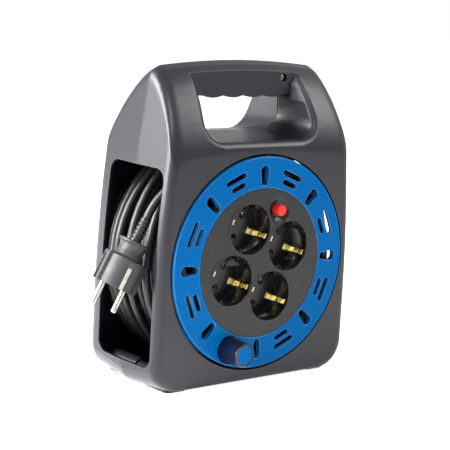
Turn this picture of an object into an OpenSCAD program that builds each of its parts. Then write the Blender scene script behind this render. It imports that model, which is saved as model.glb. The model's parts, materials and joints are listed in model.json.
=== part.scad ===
// Cassette cable reel: a two-shell carrying case, a hand-cranked drum with four earthed
// sockets and a reset button on its front, and a wound cable that ends in a plug.
// X runs to the right, the front faces -Y, Z is up and the feet stand on z = 0.
// The two case shells meet on the plane y = 0.

/* [Drum] */
// Radius of the blue front flange
flange_r = 89; // [86:0.5:94]
// Radius of the round panel that carries the sockets
panel_r = 62.7; // [61:0.1:64.5]
// How far the flange stands in front of the case
flange_proud = 1.5; // [1:0.1:3]
// Thickness of the flange plate
flange_t = 3; // [2.5:0.1:4]
// Turn of the drum at rest, clockwise from the front
drum_turn = 22; // [0:1:45]
// Number of teardrop holes round the flange
drop_count = 8; // [4:2:8]
// Play between the hub and the axle stub on a radius
hub_play = 0.05; // [0.02:0.01:0.1]
// Radius of the axle stub
axle_r = 14; // [10:0.5:16]

/* [Case] */
// Depth of the front shell
front_depth = 45; // [43:0.5:50]
// Depth of the rear shell
rear_depth = 52.5; // [43:0.5:56]
// Wall thickness of the shells
wall = 2.6; // [2:0.1:3.2]
// Gap between the flange and the edge of its hole
hole_gap = 2; // [1.5:0.1:3]
// Width of the case beside the flange hole
side_band = 12.2; // [9:0.1:16]
// Height of the case below the flange hole
foot_band = 11; // [10:0.5:16]
// How much the sides curve in from their widest place to the shoulder
side_lean = 7.8; // [3:0.1:8]
// How much they lean in from the shoulder to the top corner
top_lean = 8; // [6:0.1:14]
// Narrowing of a shell from the parting plane to its face
draft = 2; // [1:0.1:3]
// Rounding of the upright edges
edge_r = 8; // [5:0.5:10]
// Rounding of the bottom edges
bottom_edge_r = 3; // [2:0.5:4]
// Height of the leaning top above the flange hole
top_rise = 71.5; // [68:0.5:80]
// Height of the side openings above and below the drum axis
window_half_h = 80.5; // [70:0.5:84]
// Depth of the side openings to each side of the parting plane
window_half_d = 37; // [30:0.5:38]
// Corner radius of the side openings
window_r = 10; // [6:0.5:14]

/* [Handle] */
// Half width of the hand hole at the parting plane
grip_half_w = 47.5; // [44:0.5:50]
// How much wider the hand hole gets towards the front
grip_flare = 10; // [6:0.5:11]
// Height of the hand hole's floor above the flange hole
grip_floor_up = 14.5; // [13:0.5:18]
// Clear height for the fingers
finger_room = 28; // [25:0.5:30]
// Half depth of the handle bar
bar_half_d = 11.5; // [10:0.5:13]
// Number of finger waves under the bar
finger_count = 4; // [3:1:5]
// Spacing of the finger waves
finger_pitch = 21; // [18:0.5:23]

/* [Sockets] */
// Radius of a socket well
well_r = 20; // [19.5:0.1:20.3]
// Depth of a socket well
well_depth = 17.5; // [17:0.1:19]
// Distance of a well's centre from the drum's two middle lines
well_offset = 22.3; // [21.9:0.1:23]
// Distance between the two pin holes of a socket
pin_pitch = 19; // [18.5:0.1:19.5]
// Radius of a pin hole
pin_hole_r = 2.7; // [2.6:0.05:3]

/* [Reset button] */
// Radius of the button
button_r = 4.5; // [3.5:0.1:5]
// How far the button stands in front of the panel
button_proud = 3.5; // [3:0.1:5]
// Travel of the button
button_travel = 2.5; // [1.5:0.1:3]
// Distance of the button from the drum axis
button_from_axis = 46.8; // [46:0.1:48]

/* [Crank knob] */
// Radius of the knob at its base
knob_base_r = 11; // [10:0.1:11.5]
// Radius of the knob at its end
knob_end_r = 9.8; // [9:0.1:10]
// Length of the knob in front of the flange
knob_length = 21.5; // [18:0.5:26]
// Radius of the knob's pin
knob_pin_r = 3; // [2.5:0.1:3.5]

/* [Cable] */
// Radius of the cable
cable_r = 3.6; // [3.3:0.1:3.9]
// Depth that the wound cable bulges beyond the flange
winding_bulge = 7.5; // [2:0.5:8]

/* [Plug] */
// Radius of the plug's front part
plug_r = 15.8; // [15:0.1:17.5]
// Length of the plug's front part
plug_front_len = 24.5; // [21:0.5:26]
// Length of the grip behind it
plug_grip_len = 12.4; // [11:0.1:18]
// Length of the bend relief
relief_len = 21; // [20:1:32]
// Radius of a plug pin
plug_pin_r = 2.4; // [2.3:0.05:2.45]
// Length of a plug pin
plug_pin_len = 19; // [18:0.5:19.5]

/* [Hidden] */

$fn = 72;
// Points along a rounded corner of a loft
arc_steps = 7;
// Overlap that lets one cut pass another face
eps = 0.01;
// Gap between pieces that seat on each other
seat_gap = 0.2;
// Gap between pieces that move past each other
run_gap = 0.3;
// Play of a screw in its pilot hole on a radius
screw_play = 0.05;

// Case outline
hole_r = flange_r + hole_gap;
drum_z = hole_r + foot_band;
base_half_w = hole_r + side_band;
shoulder_half_w = base_half_w - side_lean;
top_half_w = shoulder_half_w - top_lean;
case_base_z = 0.8;
base_rise = 1.2;
lean_z = drum_z + hole_r + 1;
case_top_z = lean_z + top_rise;
shoulder_z = lean_z + 2;
widest_z = 63;
side_steps = 6;
top_corner_drop = 13;
top_corner_z = case_top_z - top_corner_drop;
lean_power = 1.42;
corner_r = 18;
corner_r_face = 24;
top_corner_r = 14;
top_corner_turn = 88;
arch_r = 700;
arch_shares = [0.75, 0.5, 0.25, 0.04];
knee_drop = 4;
seam_gap = 0.1;
depth_steps = [0, 0.14, 0.28, 0.42, 0.55, 0.66, 0.75, 0.82, 0.88, 0.93, 0.965, 0.988, 1];
hole_lip_t = 2.4;
foot_in = 29;
foot_w = 22;
foot_share = 0.72;
foot_r = 5;
window_cut_past = 10;
window_cut_len = 30;
case_rib_t = 2;
case_rib_gap = 2;
case_rib_step = 45;

// Hand hole and handle bar
grip_floor_z = drum_z + hole_r + grip_floor_up;
grip_floor_drop = 5.5;
grip_lean = 0.06;
grip_corner_r = 16;
grip_wall_shares = [0.2, 0.4, 0.5, 0.6, 0.7, 0.8, 1];
grip_cut_past = 8;
mouth_r = 4;
mouth_steps = 3;
mouth_unflare = 0.1;
bar_under_z = grip_floor_z + finger_room;
finger_wave = 2;
finger_wave_r = (pow(finger_pitch / 2, 2) + pow(finger_wave, 2)) / (2 * finger_wave);
bar_cavity_end = 10;
bar_cavity_short = 6;

// Screws
post_r = 5;
rear_post_r = post_r + 1.8;
screw_r = 1.7;
head_r = 3.4;
head_h = 2.4;
head_taper = 0.8;
cross_w = 0.8;
cross_bottom = 0.45;
counterbore_r = 4.2;
case_screw_seat = 12;
case_screw_reach = 14;
handle_screw_in = 4.5;
handle_screw_down = 14;
handle_screw_x = grip_half_w - handle_screw_in;
handle_screw_z = case_top_z - handle_screw_down;
handle_screw_seat = 6;
handle_screw_reach = 7;
handle_head_r = head_r - 0.4;
handle_bore_r = counterbore_r - 0.6;
low_post_in = 19.5;
low_post_z = 13;
middle_post_in = 22.3;
top_post_in = 16.5;
top_post_down = 30;
case_posts = [[base_half_w - low_post_in, low_post_z], [shoulder_half_w - middle_post_in, shoulder_z],
    [top_half_w - top_post_in, case_top_z - top_post_down]];

// Depths inside the drum, measured forward from the parting plane
flange_front = front_depth + flange_proud;
flange_back = flange_front - flange_t;
skirt_t = 2.2;
skirt_r = flange_r - 0.6;
skirt_depth = 5.5;
skirt_back = flange_back - skirt_depth;
cup_t = 1.7;
cup_depth = 20;
cup_back = flange_back - cup_depth;
panel_drop = 0.5;
panel_front = flange_front - panel_drop;
panel_t = 2.6;
panel_back = panel_front - panel_t;
ledge_w = 3;
ledge_t = 2;
well_floor_t = 2;
well_floor_f = panel_front - well_depth;
cups_back = well_floor_f - well_floor_t;
barrel_in_r = panel_r + cup_t + seat_gap;
barrel_t = 1.8;
barrel_r = barrel_in_r + barrel_t;
rear_flange_past = 5;
rear_flange_r = flange_r + rear_flange_past;
rear_flange_t = 2.6;
rear_gap = 3.8;
rear_flange_back = -(rear_depth - wall - rear_gap);
rear_flange_front = rear_flange_back + rear_flange_t;
hub_t = 3.5;
hub_front = -20.3;
hub_rib_t = 2.4;
hub_rib_h = 14;
axle_end = hub_front + run_gap;
axle_boss_r = axle_r + 4;
washer_r = axle_r + 3;
washer_t = 1.6;
axle_screw_r = 2.2;
axle_screw_len = 15;
axle_pilot_past = 2.6;
axle_bore_end = axle_screw_len - washer_t - axle_end + axle_pilot_past;
axle_head_r = 5;
axle_head_h = 3;

// Flange pattern
slot_w = 4.6;
outer_slot_len = 21.8;
inner_slot_len = 15.5;
pattern_r = (panel_r + flange_r) / 2;
outer_slot_r = pattern_r + 1.1;
inner_slot_r = pattern_r - 6.2;
drop_big_r = 4.6;
drop_small_r = 3.4;
drop_span = 8.7;
drop_rim_t = 1.2;
drop_rim_depth = 2.6;
rim_chamfer = 0.8;
inner_chamfer = 0.5;
knob_dish_r = knob_base_r + 1.2;
knob_dish_depth = 1.5;

// Drum screws
drum_post_in = 6.2;
drum_post_from_axis = panel_r - drum_post_in;
drum_post_r = 5.2;
drum_post_play = 1.4;
barrel_post_r = drum_post_r + 0.6;
drum_post_angles = [67.5, 157.5, 247.5, 337.5];
lug_depth = 9;
lug_back = flange_back - lug_depth;
lug_t = 3;
lug_r = drum_post_r + 1.5;
lug_hole_r = screw_r + 0.3;
drum_post_floor_t = 4;
drum_screw_seat = lug_back - seat_gap - drum_post_floor_t;
drum_screw_len = 12;
drum_pilot_stop = 0.5;

// Contacts
sheet_t = 1;
sleeve_r = 3.3;
sleeve_bore_r = plug_pin_r + 0.05;
strip_w = 7;
strip_play = 0.6;
channel_back_play = 0.2;
live_rows = [well_offset + pin_pitch / 2, -well_offset + pin_pitch / 2];
neutral_rows = [well_offset - pin_pitch / 2, -well_offset - pin_pitch / 2];
link_x = well_offset / 2;
earth_front = cups_back - seat_gap;
carrier_depth = 14.5;
carrier_back = cups_back - carrier_depth;
carrier_plate_t = 2.2;
carrier_front = carrier_back + carrier_plate_t;
carrier_in = 4.5;
carrier_r = panel_r - carrier_in;
carrier_screw_len = 12;
neutral_front = carrier_front + seat_gap / 2 + sheet_t;
live_rise = 4.5;
live_front = carrier_front + live_rise;
tower_r = sleeve_r + 1.3;
tower_front = earth_front - sheet_t - seat_gap;
middle_post_r = post_r - 1.5;
clip_from_centre = well_r - 0.9;
clip_foot = 10.6;
clip_foot_f = well_floor_f + seat_gap;
clip_w = 6;
clip_arm_w = 4;
clip_half_t = 0.4;
clip_bow = 2;
clip_hook = 1.2;
rib_w = 5;
rib_in = 2.2;
rib_root = 0.5;
rib_short = 2.5;
well_wall_t = 1.6;
well_chamfer = 0.9;
well_chamfer_w = 1.2;
collar_r = 24;
collar_h = 0.4;
collar_foot = 0.5;
collar_taper = 1.2;
carrier_post_in = 11.5;
carrier_post_from_axis = panel_r - carrier_post_in;
carrier_post_r = post_r - 1;
carrier_screw_angles = [0, 180, 270];

// Reset button and thermal cut-out
dish_r = 11.3;
dish_depth = 4;
dish_floor_t = 2;
dish_wall_t = 1.2;
dish_floor_w = 1;
button_play = 0.08;
button_len = 20;
button_chamfer = 0.5;
cutout_w = 15;
cutout_h = 13;
cutout_front = panel_front - dish_depth - dish_floor_t - seat_gap;
cutout_depth = 24;
tab_w = 6.3;
tab_t = 0.8;
tab_len = 8;
tab_from_middle = 4;
tab_end_f = cutout_front - cutout_depth - tab_len;
cutout_play = 1;

// Knob
knob_base_f = flange_front - knob_dish_depth + run_gap;
knob_end_f = flange_front + knob_length;
knob_cap_r = knob_end_r - 1.6;
knob_cap_t = 2;
knob_head_r = 4.6;
knob_head_h = 2.2;
knob_bore_play = 0.05;
knob_head_room = 1.3;
knob_shoulder_f = knob_end_f - knob_cap_t - knob_head_h - knob_head_room;
knob_screw_len = 7;
knob_rim = 1;
knob_rim_in = 0.8;
knob_taper_end = 0.1;
knob_cap_drop = 0.3;
knob_cap_chamfer = 0.6;
pin_head_h = 1.8;
pin_head_r = knob_pin_r + 2.5;

// Wound cable
winding_in_r = barrel_r + seat_gap;
winding_r = flange_r + winding_bulge;
winding_front_gap = 1.2;
winding_front = flange_back - pin_head_h - winding_front_gap;
winding_back = rear_flange_front + run_gap;
winding_edge = 3.5;
// Where the winding narrows to leave room for the free cable: depth behind, then radius and depth steps
lead_room_f = 20.5;
lead_room_steps = [[5, 3], [8.5, 12.5]];
winding_front_drop = 15;

// Cable inside the drum; the points are for a contact carrier whose back lies at routes_f
entry_angle = 205;
routes_f = 12;
wire_r = 1.5;
wire_hole_r = wire_r + 0.5;
tube_sides = 10;
wire_sides = 8;
inner_steps = 2;
tab_wire_gap = 0.4;
tab_turn_gap = 4.8;
tab_turn_in = 0.2;
tail_route = seated([[-60, -28, -5], [-52, -24.3, -5], [-43, -20.1, -2.5], [-34, -16, 1],
    [-25, -12, 1], [-16, -8, 1]]);
live_route = concat(seated([[-15.65, -7.85, 2.8], [-13.2, -6.8, 3.2], [-10, -3.4, 4.4], [-7, 6, 3],
    [-5, 18, -1], [-4, 27, -3.5], [-4, 35, -4.4], [-4, 41, -2.8], [-4, 45.4, -0.2]]),
    tab_points(-tab_from_middle, [tab_turn_gap, tab_wire_gap]));
cutout_route = concat(tab_points(tab_from_middle, [tab_wire_gap, tab_turn_gap]),
    seated([[4, 45.2, -0.4], [5, 40.5, -3.2], [6.5, 34.5, -5], [8.5, 28, -3], [10, 23.5, 1.5],
    [11, 22, 8], [11, 22, 17.5]]));
neutral_route = seated([[-15.2, -9.3, 0], [-12.8, -8.5, -0.2], [-10.6, -9.7, -0.2], [-9.2, -12.6, 0.6],
    [-9.2, -17, 3], [-10.5, -21, 7.5], [-11, -22, 14.1]]);
earth_route = seated([[-16.4, -6.5, 0], [-13.6, -5.2, 0], [-9.5, -3.6, 0.6], [-5.5, -2.6, 3],
    [-1.5, -0.8, 7.5], [0, 0, 13], [0, 0, 25.1]]);
entry_f = tail_route[0][2];

// Cord clamp
clamp_at = tail_route[4];
clamp_turn = 24;
clamp_len = 8;
clamp_w = 24;
clamp_bottom_t = 3;
clamp_back = clamp_at[2] - cable_r - clamp_bottom_t;
clamp_screw_from_cord = 8.5;
clamp_screw_stop = 1.5;
clamp_boss_r = 3.4;
clamp_boss_h = 4.8;
clamp_boss_f = carrier_front + clamp_boss_h;

// Free cable and plug
plug_pos = [-108, -19.5, 123.5];
plug_tilt = 26.5;
plug_heading = -9;
plug_twist = -6;
plug_axis = [sin(plug_tilt) * cos(plug_heading), sin(plug_tilt) * sin(plug_heading), cos(plug_tilt)];
collar_ring_r = 13;
collar_ring_t = 2.4;
collar_ring_edge = 0.6;
plug_face = -collar_ring_t - plug_grip_len - plug_front_len;
plug_edge = 0.8;
plug_face_edge = 0.6;
grip_r = 11.6;
grip_waist_r = 10.2;
grip_waist_share = 0.45;
grip_end = 0.4;
relief_r = 4.9;
relief_end_r = 4.2;
relief_groove = 0.6;
relief_segments = 6;
relief_ridge = 0.6;
relief_flank = 0.02;
bridge_r = 13.4;
bridge_t = 3;
wing_r = 18.4;
wing_w = 11;
guide_w = 5;
guide_depth = 2.9;
guide_short = 2;
strip_len = 18;
earth_strip_w = 3.2;
earth_strip_t = 1.5;
strip_slot_past = 2.5;
pin_root_step = 0.4;
pin_root_r = plug_pin_r - pin_root_step;
pin_root_len = 12;
pin_tip = 1;
relief_end = plug_pos + relief_len * plug_axis;
lead_route = concat([relief_end + 0.15 * plug_axis, relief_end + 6 * plug_axis],
    [[-91.5, -22.5, 155.2], [-85.5, -24.5, 162.5], [-78, -26.3, 169.2], [-68, -26.8, 175.6],
    [-57, -26.4, 181.5], [-45.7, -25.3, 186.9]]);
lead_steps = 4;

// ---- Shapes that repeat ----

// A route inside the drum, moved to where the contact carrier lies
function seated(route) = [for (p = route) p + [0, 0, carrier_back - routes_f]];

// The points of a wire behind the cut-out's tab at x, at the gaps behind the tab's end
function tab_points(x, gaps) = [for (g = gaps)
    [x, button_from_axis - (g > tab_wire_gap ? tab_turn_in : 0), tab_end_f - g]];

// Points on an arc round c, from angle a0 to a1
function arc(c, r, a0, a1, steps = arc_steps) = [for (i = [0:steps])
    let (a = a0 + (a1 - a0) * i / steps) [c[0] + r * cos(a), c[1] + r * sin(a)]];

// A closed outline from its right half, which runs from the bottom to the top
function both_sides(half) = concat(half, [for (i = [len(half) - 1:-1:0]) [-half[i][0], half[i][1]]]);

// A solid through rings that have the same number of points
module loft(rings) {
    n = len(rings[0]);
    m = len(rings);
    sides = [for (k = [0:m - 2]) for (i = [0:n - 1])
        let (j = (i + 1) % n, a = k * n + i, b = k * n + j, c = a + n, d = b + n)
        each [[a, d, b], [a, c, d]]];
    first = [for (i = [0:n - 1]) i];
    last = [for (i = [0:n - 1]) m * n - 1 - i];
    polyhedron(points = [for (r = rings) each r], faces = concat([first], sides, [last]));
}

// Point at t along the curve that passes through b and c
function curve_point(a, b, c, d, t) = 0.5 * (2 * b + (c - a) * t
    + (2 * a - 5 * b + 4 * c - d) * t * t + (3 * b - a - 3 * c + d) * t * t * t);

// A smooth path through the points of a route
function smooth(route, steps) = let (n = len(route), p = concat([2 * route[0] - route[1]], route,
    [2 * route[n - 1] - route[n - 2]])) concat([for (i = [0:n - 2]) for (s = [0:steps - 1])
    curve_point(p[i], p[i + 1], p[i + 2], p[i + 3], s / steps)], [route[n - 1]]);

function unit(v) = v / norm(v);

// A round tube along a route; side_axis never lies along the route
module cord(route, r, sides, steps, side_axis) {
    path = smooth(route, steps);
    n = len(path);
    loft([for (i = [0:n - 1])
        let (t = unit(path[min(i + 1, n - 1)] - path[max(i - 1, 0)]),
            u = unit(cross(side_axis, t)), v = cross(t, u))
        [for (k = [0:sides - 1]) path[i] + r * (cos(360 * k / sides) * u + sin(360 * k / sides) * v)]]);
}

// A cylinder along the row's Y axis, from y0 to y1
module along_y(x, z, y0, y1, r, r_end = -1) {
    translate([x, y0, z]) rotate([-90, 0, 0]) cylinder(h = y1 - y0, r1 = r, r2 = r_end < 0 ? r : r_end);
}

// Rectangle with round corners, centred
module round_rect(w, h, r) {
    square([w - 2 * r, h], center = true);
    square([w, h - 2 * r], center = true);
    for (x = [-1, 1], y = [-1, 1]) translate([x * (w / 2 - r), y * (h / 2 - r)]) circle(r);
}

// The drum's frame: x and y lie in its face and z points forward
module on_drum() {
    translate([0, 0, drum_z]) rotate([90, 0, 0]) rotate([0, 0, -drum_turn]) children();
}

// The plug's frame: z points from the pins to the cable, x along the pair of pins
module on_plug() {
    translate(plug_pos) rotate([0, plug_tilt, plug_heading]) rotate([0, 0, plug_twist]) children();
}

// A cylinder in the drum's frame, from depth f0 forward to f1
module slug(f0, f1, r, r_end = -1) {
    translate([0, 0, f0]) cylinder(h = f1 - f0, r1 = r, r2 = r_end < 0 ? r : r_end);
}

// A ring in the drum's frame
module band(f0, f1, r_out, r_in) {
    difference() {
        slug(f0, f1, r_out);
        slug(f0 - 1, f1 + 1, r_in);
    }
}

// Copies at the angles round the drum axis
module around(angles, from_axis) {
    for (a = angles) rotate([0, 0, a]) translate([from_axis, 0, 0]) children();
}

// Copies at the four wells
module at_wells() {
    for (x = [-1, 1], y = [-1, 1]) translate([x * well_offset, y * well_offset, 0]) children();
}

// A pan-head screw that points along -z, its head's underside at z = 0
module screw(shank_r, length, cap_r, cap_h) {
    difference() {
        cylinder(h = cap_h, r1 = cap_r, r2 = cap_r * head_taper);
        for (a = [0, 90]) rotate([0, 0, a]) translate([-cap_r / 2, -cross_w / 2, cap_h * cross_bottom])
            cube([cap_r, cross_w, cap_h]);
    }
    translate([0, 0, -length]) cylinder(h = length + eps, r = shank_r);
}

// ---- Case ----

// Depth of the front shell (side -1) or the rear shell (side 1)
function depth_of(side) = side > 0 ? rear_depth : front_depth;

// How far a rounding of radius r has come in at depth share t
function edge_inset(t, r, depth) = let (d = max(0, r - (1 - t) * depth)) r - sqrt(r * r - d * d);

// Height of the case's top at depth share t
function top_at(t) = lean_z + top_rise * pow(max(0, 1 - pow(t, lean_power)), 1 / lean_power);

// Half width of the case at height z, before draft and rounding
function half_w_at(z) = z < shoulder_z
    ? base_half_w - side_lean * pow(max(0, z - widest_z) / (shoulder_z - widest_z), 2)
    : shoulder_half_w + (top_half_w - shoulder_half_w) * (z - shoulder_z) / (top_corner_z - shoulder_z);

// Outline at depth share t of a shell, shrunk by skin on every side
function case_outline(t, skin, depth) =
    let (in_x = draft * t + edge_inset(t, edge_r, depth) + skin,
        floor_z = case_base_z + base_rise * t + edge_inset(t, bottom_edge_r, depth) + skin,
        r_low = corner_r + (corner_r_face - corner_r) * t - skin,
        top_z = top_at(t) - skin,
        r_top = top_corner_r - skin,
        side_z = top_z - r_top - pow(top_half_w, 2) / (2 * arch_r),
        side_x = half_w_at(side_z) - in_x,
        knee_z = min(shoulder_z, side_z - knee_drop),
        edge_x = side_x - r_top,
        arch = function (x) top_z - x * x / (2 * arch_r))
    both_sides(concat(
        arc([half_w_at(floor_z + r_low) - in_x - r_low, floor_z + r_low], r_low, -90, 0),
        [for (k = [0:side_steps]) let (z = widest_z + (knee_z - widest_z) * k / side_steps)
            [half_w_at(z) - in_x, z]],
        arc([edge_x, arch(edge_x) - r_top], r_top, 0, top_corner_turn),
        [for (s = arch_shares) [edge_x * s, arch(edge_x * s)]]));

// One half of the case as a solid; side is -1 for the front and 1 for the rear
module case_half(side, skin) {
    depth = depth_of(side);
    rings = [for (t = depth_steps) let (y = seam_gap + t * (depth - seam_gap - skin))
        [for (p = case_outline(t, skin, depth)) [p[0], -y, p[1]]]];
    mirror([0, side > 0 ? 1 : 0, 0]) loft(rings);
}

// Depth of the leaning front at a point of the outline
function face_depth(x, z, depth) = let (up = z + x * x / (2 * arch_r) - lean_z)
    up <= 0 ? depth : depth * pow(max(0, 1 - pow(min(1, up / top_rise), lean_power)), 1 / lean_power);

// Outline of the hand hole: flare 0 at the parting plane, 1 at the mouth
function grip_outline(flare, grow, widen) =
    let (floor_z = grip_floor_z - grip_floor_drop * flare - grow,
        r = grip_corner_r + grow,
        w = grip_half_w + widen * flare + grow,
        top_z = case_top_z + 20,
        top_w = w - grip_lean * (top_z - floor_z))
    both_sides(concat(arc([w - r, floor_z + r], r, -90, 0),
        [for (s = grip_wall_shares)
            [w + (top_w - w) * s, floor_z + r + (top_z - floor_z - r) * s]]));

// The hand hole's cut through one shell, wider towards its rounded mouth
module grip_cut(side, grow, widen) {
    depth = depth_of(side);
    outer = [for (p = grip_outline(1, grow + mouth_r, widen)) [p[0], -depth - grip_cut_past, p[1]]];
    mouth = [for (k = [mouth_steps:-1:0]) let (a = 90 * k / mouth_steps, near = mouth_steps + 1 - k)
        [for (p = grip_outline(1 - mouth_unflare * k / mouth_steps, grow + mouth_r * (1 - sin(a)), widen))
            [p[0], -max(face_depth(p[0], p[1], depth) - mouth_r * (1 - cos(a)), near), p[1]]]];
    inner = [for (p = grip_outline(0, grow, widen)) [p[0], 1, p[1]]];
    mirror([0, side > 0 ? 1 : 0, 0]) loft(concat([inner], mouth, [outer]));
}

// The handle bar's outline in front view, with its finger waves
module bar_outline() {
    translate([-base_half_w, bar_under_z + finger_wave]) square([2 * base_half_w, 2 * top_rise]);
    intersection() {
        for (k = [0:finger_count - 1]) translate([(k - (finger_count - 1) / 2) * finger_pitch,
            bar_under_z + finger_wave_r]) circle(finger_wave_r);
        translate([-base_half_w, bar_under_z - 1]) square([2 * base_half_w, 2 * finger_wave + 1]);
    }
}

module handle_bar(skin) {
    translate([0, bar_half_d - skin, 0]) rotate([90, 0, 0])
        linear_extrude(2 * (bar_half_d - skin)) bar_outline();
}

// Places in both columns for the screws that hold the shells together
module at_posts() {
    for (p = case_posts, s = [-1, 1]) translate([s * p[0], 0, p[1]]) children();
}

// The opening in the side walls through which the wound cable shows
module side_windows() {
    for (s = [-1, 1]) translate([s * (base_half_w + window_cut_past), 0, drum_z])
        rotate([0, -s * 90, 0]) linear_extrude(window_cut_len)
        round_rect(2 * window_half_h, 2 * window_half_d, window_r);
}

// Feet under one shell
module feet(side) {
    depth = depth_of(side);
    for (s = [-1, 1]) translate([s * (base_half_w - foot_in), side * depth / 2, 0])
        linear_extrude(wall) round_rect(foot_w, depth * foot_share, foot_r);
}

// A thin-walled case half with the hand hole's walls; children stay inside as ribs and bosses
module shell(side, widen) {
    difference() {
        union() {
            case_half(side, 0);
            feet(side);
        }
        difference() {
            case_half(side, wall);
            grip_cut(side, wall, widen);
            children();
        }
        difference() {
            grip_cut(side, 0, widen);
            handle_bar(0);
        }
        bar_cavity(side);
        side_windows();
    }
}

// The hollow inside the handle bar, short of the screw's end
module bar_cavity(side) {
    half = grip_half_w - bar_cavity_end;
    translate([-half, side > 0 ? 0 : -(bar_half_d - wall), bar_under_z + finger_wave + wall])
        cube([2 * half - bar_cavity_short, bar_half_d - wall,
            top_at(bar_half_d / front_depth) - bar_under_z - finger_wave - 2 * wall]);
}

module front_shell() {
    color("#46464a") difference() {
        shell(-1, grip_flare) {
            at_posts() along_y(0, 0, -front_depth, 0, post_r);
            difference() {
                along_y(0, drum_z, -front_depth, -skirt_back, hole_r + hole_lip_t);
                along_y(0, drum_z, -front_depth - 1, 0, hole_r);
            }
        }
        along_y(0, drum_z, -front_depth - 1, -front_depth + wall + 1, hole_r);
        at_posts() along_y(0, 0, -case_screw_reach - 1, 1, screw_r + screw_play);
        along_y(handle_screw_x, handle_screw_z, -bar_half_d - handle_screw_seat, -handle_screw_seat,
            handle_bore_r);
        along_y(handle_screw_x, handle_screw_z, -handle_screw_seat - 1, 1, screw_r + screw_play);
    }
}

module rear_shell() {
    color("#46464a") difference() {
        shell(1, 0) {
            at_posts() along_y(0, 0, 0, rear_depth, rear_post_r);
            along_y(0, drum_z, -axle_end, rear_depth, axle_r);
            along_y(0, drum_z, -rear_flange_back + run_gap, rear_depth, axle_boss_r);
            for (a = [0:case_rib_step:359]) translate([0, -rear_flange_back + case_rib_gap, drum_z])
                rotate([0, a, 0]) translate([0, 0, -case_rib_t / 2])
                cube([flange_r, rear_depth, case_rib_t]);
        }
        at_posts() along_y(0, 0, case_screw_seat, rear_depth + 1, counterbore_r);
        at_posts() along_y(0, 0, -1, case_screw_seat + 1, screw_r + screw_play);
        along_y(0, drum_z, -axle_end - 1, axle_bore_end, axle_screw_r + screw_play);
        along_y(handle_screw_x, handle_screw_z, -1, handle_screw_reach + 1, screw_r + screw_play);
    }
}

module case_screws() {
    color("silver") at_posts() translate([0, case_screw_seat, 0]) rotate([-90, 0, 0])
        screw(screw_r, case_screw_seat + case_screw_reach, head_r, head_h);
}

module handle_screw() {
    color("silver") translate([handle_screw_x, -handle_screw_seat, handle_screw_z]) rotate([90, 0, 0])
        screw(screw_r, handle_screw_seat + handle_screw_reach, handle_head_r, head_h);
}

module axle_washer() {
    color("silver") on_drum() band(axle_end, axle_end + washer_t, washer_r, axle_screw_r + screw_play);
}

module axle_screw() {
    color("silver") on_drum() translate([0, 0, axle_end + washer_t])
        screw(axle_screw_r, axle_screw_len, axle_head_r, axle_head_h);
}

// ---- Drum ----

// The ring of teardrops, wide ends outwards, each grown by grow on every side
module teardrops(grow) {
    near = outer_slot_r - drop_span;
    turn = acos((drop_big_r - drop_small_r) / drop_span);
    step = 360 / drop_count;
    for (k = [0:drop_count - 1]) rotate(90 + step * (k + 0.5))
        polygon(concat(arc([outer_slot_r, 0], drop_big_r + grow, -turn, turn, 2 * arc_steps),
            arc([near, 0], drop_small_r + grow, turn, 360 - turn, 2 * arc_steps)));
}

// A slot across the radius
module cross_slot(from_axis, length) {
    translate([from_axis, 0]) round_rect(slot_w, length, slot_w / 2 - eps);
}

module flange_pattern() {
    step = 360 / drop_count;
    teardrops(0);
    for (k = [0:drop_count - 1]) if (k != drop_count / 2) rotate(90 + step * k) {
        cross_slot(outer_slot_r, outer_slot_len);
        cross_slot(inner_slot_r, inner_slot_len);
    }
}

module at_knob() {
    translate([0, -pattern_r, 0]) children();
}

module front_flange() {
    color("#0066b2") on_drum() difference() {
        union() {
            rotate_extrude() polygon([[panel_r, flange_back], [flange_r, flange_back],
                [flange_r, flange_front - rim_chamfer], [flange_r - rim_chamfer, flange_front],
                [panel_r + inner_chamfer, flange_front], [panel_r, flange_front - inner_chamfer]]);
            intersection() {
                translate([0, 0, flange_back - drop_rim_depth]) linear_extrude(drop_rim_depth + 1)
                    teardrops(drop_rim_t);
                band(skirt_back, flange_front, flange_r - skirt_t, barrel_r + run_gap);
            }
            band(skirt_back, flange_back + 1, skirt_r, skirt_r - skirt_t);
            band(cup_back, flange_back + 1, panel_r + cup_t, panel_r);
            band(panel_back - ledge_t, panel_back, panel_r + 1, panel_r - ledge_w);
            around(drum_post_angles, drum_post_from_axis) slug(lug_back, lug_back + lug_t, lug_r);
        }
        translate([0, 0, skirt_back]) linear_extrude(flange_front - skirt_back + 1) flange_pattern();
        at_knob() slug(flange_front - knob_dish_depth, flange_front + 1, knob_dish_r);
        at_knob() slug(flange_back - 1, flange_front + 1, knob_pin_r + screw_play);
        around(drum_post_angles, drum_post_from_axis) slug(lug_back - 1, lug_back + lug_t + 1, lug_hole_r);
        around(drum_post_angles, drum_post_from_axis)
            slug(panel_back - ledge_t - 1, panel_back + eps, drum_post_r + run_gap);
    }
}

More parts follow.
